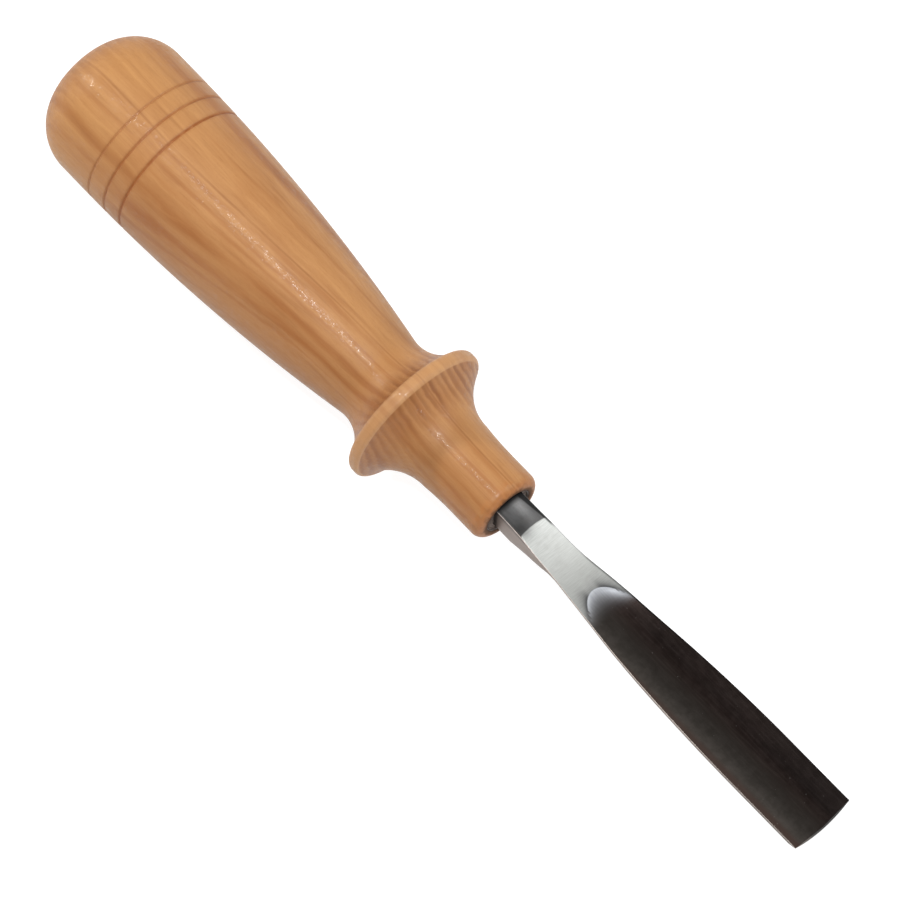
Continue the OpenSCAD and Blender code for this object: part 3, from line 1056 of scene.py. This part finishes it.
def bottom_height(x, y):
    """Lower surface, and how much of it is the sharpening bevel."""
    body = forged_underside(x, y)
    reach = FLUTE_ARC + EDGE_T + (BLADE_LEN - x) * math.tan(BEVEL)
    ground = floor_line(x) + FLUTE_ARC - np.sqrt(reach**2 - y * y)
    near_edge = x > BLADE_LEN - BEVEL_WITHIN
    bevelled = np.clip(0.5 + (ground - body) / MARK_BLUR, 0, 1) * near_edge
    return np.where(near_edge, np.maximum(body, ground), body), bevelled


def stations():
    """Places along the blade, close together where the grinding starts and ends."""
    # Where each run starts and ends, and how many places it has.
    runs = [
        (-SEAT_DEPTH + 0.01, 0.0, 8),
        (0.0, 5.6, 10),
        (5.6, 9.6, 36),
        (9.6, 22.4, 20),
        (22.4, 27.4, 44),
        (27.4, BOW_FROM, 60),
        (BOW_FROM, BLADE_LEN, 36),
    ]
    places = [np.linspace(a, b, n, endpoint=False) for a, b, n in runs]
    return np.concatenate([*places, [BLADE_LEN]])


def plain(edge=0.0, painted_light=1.0, bevelled=0.0):
    """Marks of a point that isn't on the upper surface, in the order of MARKS."""
    return [0.0, 0.0, edge, bevelled, 0.0, 0.0, painted_light]


def corner_wear(x, half):
    """How much of the top corner has worn away: less where the blade is thin."""
    rim_x, rim_y = np.array([x]), np.array([half])
    gap = float((top_height(rim_x, rim_y) - bottom_height(rim_x, rim_y)[0])[0])
    return min(EDGE_WEAR, 0.3 * max(gap, 0.0))


def side_wall(x, sign, half, wear, shade, end):
    """One side of a section from the top down: the worn corner, the wall and the foot, each point
    with its marks. The near corner carries a painted highlight, the far corner painted shade past
    the facet, the near wall's top a line of painted shade along the shank, and the walls painted
    shade towards the tip. end holds x, top and underside at that side."""
    end_x, high, deep = (float(value) for value in end)
    corner = plain(0.0, shade * (1 - 0.7 * float(fade(x, 14, 20))))
    ridge_shade = 1.0
    if sign < 0:
        corner = plain(1.0, shade * (1 - 0.35 * float(fade(x, 50, 72))))
        ridge_shade = 1 - 0.65 * float(fade(x, 10, 8))
    # Painted shade: the walls darken past the facet and again towards the tip.
    painted_light = shade * (0.85 - 0.15 * float(fade(x, 24, 30)) - 0.25 * float(fade(x, 60, 84)))
    run = [(half - wear + o * wear, high - d * wear, corner) for o, d in WORN_CORNER]
    for share in np.linspace(0, 1, 5):
        z = (high - wear) * (1 - share) + (deep + wear) * share
        run.append((half, z, plain(0.0, painted_light * ridge_shade if share == 0 else painted_light)))
    for o, d in reversed(WORN_CORNER):
        run.append((half - wear + o * wear, deep + d * wear, plain(0.0, painted_light)))
    return [((NOSE_X + end_x, sign * y, z), marks) for y, z, marks in run]


def blade_ring(x, columns):
    """One closed section of the blade with its marks, x from the nose face."""
    half = float(half_width(np.array([x]))[0])
    wear = corner_wear(x, half)
    y = np.linspace(-1, 1, columns) * (half - wear)
    bend = EDGE_BOW * max(0.0, (x - BOW_FROM) / (BLADE_LEN - BOW_FROM))
    bow = x - bend * ((y - BOW_MIDDLE) / BLADE_HALF) ** 2
    top = top_height(bow, y)
    marks = np.array(top_marks(bow, y))
    low, bevel = bottom_height(bow, y)
    low = np.minimum(low, top - EDGE_T)
    # Painted shade: the steel darkens inside the handle's mouth.
    shade = 1 - 0.88 * float(fade(x, 0.7, -0.1))

    section = [((NOSE_X + bow[i], y[i], top[i]), list(marks[:, i])) for i in range(columns)]
    section += side_wall(x, 1, half, wear, shade, (bow[-1], top[-1], low[-1]))
    for i in reversed(range(columns)):
        section.append(((NOSE_X + bow[i], y[i], low[i]), plain(0.0, shade, bevel[i])))
    section += side_wall(x, -1, half, wear, shade, (bow[0], top[0], low[0]))[::-1]
    return [point for point, _ in section], [row for _, row in section]


def tang_ring(x, like):
    """The tang's square section, with its points shared out as on a blade ring."""
    half, rise = tang_at(x)
    scale = half / SHANK_HALF
    return [(NOSE_X + x, p[1] * scale, rise + (p[2] - SHANK_RISE) * scale) for p in like]


def blade():
    """The forging: tang, square shank, facet and fluted blade."""
    rings, rows = [], []
    for x in stations():
        points, marks = blade_ring(float(x), BLADE_COLUMNS)
        rings.append(points)
        rows.append(marks)
    first, first_marks = rings[0], rows[0]
    for share in np.linspace(0.12, 1, 6):
        rings.insert(0, tang_ring(-SEAT_DEPTH - share * TANG_LEN, first))
        rows.insert(0, first_marks)
    marks = {name: [[m[k] for m in row] for row in rows] for k, name in enumerate(MARKS)}
    made = build("forged_blade", rings, marks=marks)
    made.data.materials.append(blade_steel())
    return made


# ---------------------------------------------------------------- studio


def direction(lean, turn):
    """Unit vector leant towards the edge by lean and turned about the axis by turn."""
    lean, turn = math.radians(lean), math.radians(turn)
    sideways = FACING * math.cos(turn) + ACROSS * math.sin(turn)
    return ALONG * math.sin(lean) + sideways * math.cos(lean)


def area_light(name, lean, turn, distance, size, power, colour=(1, 1, 1)):
    """A round lamp aimed at the tool; distance and size are in metres."""
    data = bpy.data.lights.new(name, "AREA")
    data.shape = "DISK"
    data.size = size
    data.energy = power
    data.color = colour
    made = bpy.data.objects.new(name, data)
    aim = Vector((VIEW_CENTRE_X * MM, 0, 0))
    back = direction(lean, turn)
    made.location = aim + back * distance
    made.rotation_mode = "QUATERNION"
    made.rotation_quaternion = (-back).to_track_quat("-Z", "Y")
    bpy.context.scene.collection.objects.link(made)


def lights():
    area_light("key", lean=8.4, turn=-7, distance=1.5, size=0.15, power=22)
    warm = (1.0, 0.93, 0.82)
    area_light("butt_side", lean=-56, turn=5, distance=1.4, size=0.11, power=10, colour=warm)
    area_light("upper_side", lean=30, turn=-55, distance=1.4, size=0.55, power=5)
    area_light("edge_side", lean=68, turn=-17, distance=1.3, size=0.10, power=2.2)


def surroundings():
    """A pale room, brightest low down on the tool's far side and dimmer overhead."""
    world = bpy.data.worlds.new("studio")
    bpy.context.scene.world = world
    world.use_nodes = True
    nodes, links = world.node_tree.nodes, world.node_tree.links
    where = nodes.new("ShaderNodeTexCoord")
    split = nodes.new("ShaderNodeSeparateXYZ")
    ramp = nodes.new("ShaderNodeValToRGB")
    ramp.color_ramp.elements[0].position = 0.05
    ramp.color_ramp.elements[0].color = (0.80, 0.80, 0.81, 1)
    ramp.color_ramp.elements[1].position = 0.75
    ramp.color_ramp.elements[1].color = (0.20, 0.20, 0.21, 1)
    side = nodes.new("ShaderNodeMapRange")
    for name, value in (("From Min", -0.8), ("From Max", 0.8), ("To Min", 0.35), ("To Max", 1.15)):
        side.inputs[name].default_value = value
    links.new(where.outputs["Generated"], split.inputs[0])
    links.new(split.outputs[2], ramp.inputs[0])
    links.new(split.outputs[1], side.inputs[0])
    links.new(ramp.outputs[0], nodes["Background"].inputs["Color"])
    links.new(side.outputs[0], nodes["Background"].inputs["Strength"])


def floor():
    """A plain pale sheet, lit from below as on a light table, so that it stays white."""
    level = cad_box[0].z / MM
    places = np.linspace(-SHEET_REACH, SHEET_REACH, SHEET_POINTS)
    mesh = bmesh.new()
    grid = [[mesh.verts.new(Vector((x, y, level)) * MM) for x in places] for y in places]
    for a, b in zip(grid, grid[1:]):
        for i in range(len(a) - 1):
            mesh.faces.new((a[i], a[i + 1], b[i + 1], b[i]))
    data = bpy.data.meshes.new("paper_sheet")
    mesh.to_mesh(data)
    mesh.free()
    made = bpy.data.objects.new("paper_sheet", data)
    bpy.context.scene.collection.objects.link(made)
    s = Shader("pale_paper")
    fine = s.noise(s.place(), (0.02, 0.02, 0.02), detail=2.0)
    paper = s.mix(fine, (0.19, 0.19, 0.19), (0.21, 0.21, 0.21))
    lit = s.finish(
        Base_Color=paper, Roughness=0.9, Emission_Color=(1, 1, 1, 1), Emission_Strength=0.93
    )
    data.materials.append(lit)


def camera():
    """Looks at the tool from the photograph's side and turns the picture to match."""
    back = ALONG * math.sin(VIEW_LEAN) + FACING * math.cos(VIEW_LEAN)
    down_tool = ALONG * math.cos(VIEW_LEAN) - FACING * math.sin(VIEW_LEAN)
    right = down_tool * math.cos(PICTURE_ANGLE) - ACROSS * math.sin(PICTURE_ANGLE)
    up = -down_tool * math.sin(PICTURE_ANGLE) - ACROSS * math.cos(PICTURE_ANGLE)
    aim = ALONG * VIEW_CENTRE_X - ACROSS * VIEW_OFFSET
    place = (aim + back * VIEW_DISTANCE) * MM
    data = bpy.data.cameras.new("camera")
    data.lens = LENS
    data.sensor_width = SENSOR
    data.clip_start = 0.05
    data.clip_end = 20
    made = bpy.data.objects.new("camera", data)
    turn = Matrix((right, up, back)).transposed()
    made.matrix_world = Matrix.Translation(place) @ turn.to_4x4()
    bpy.context.scene.collection.objects.link(made)
    bpy.context.scene.camera = made


# ---------------------------------------------------------------- the tool


def stand_for(piece, node):
    """Ties a piece to its body and hides the CAD node it replaces."""
    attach(piece, "root")
    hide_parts(node)


stand_for(handle(), "handle")
stand_for(ferrule(), "ferrule")
stand_for(blade(), "blade")
camera()
lights()
surroundings()
floor()
bpy.context.scene.view_settings.view_transform = "Standard"
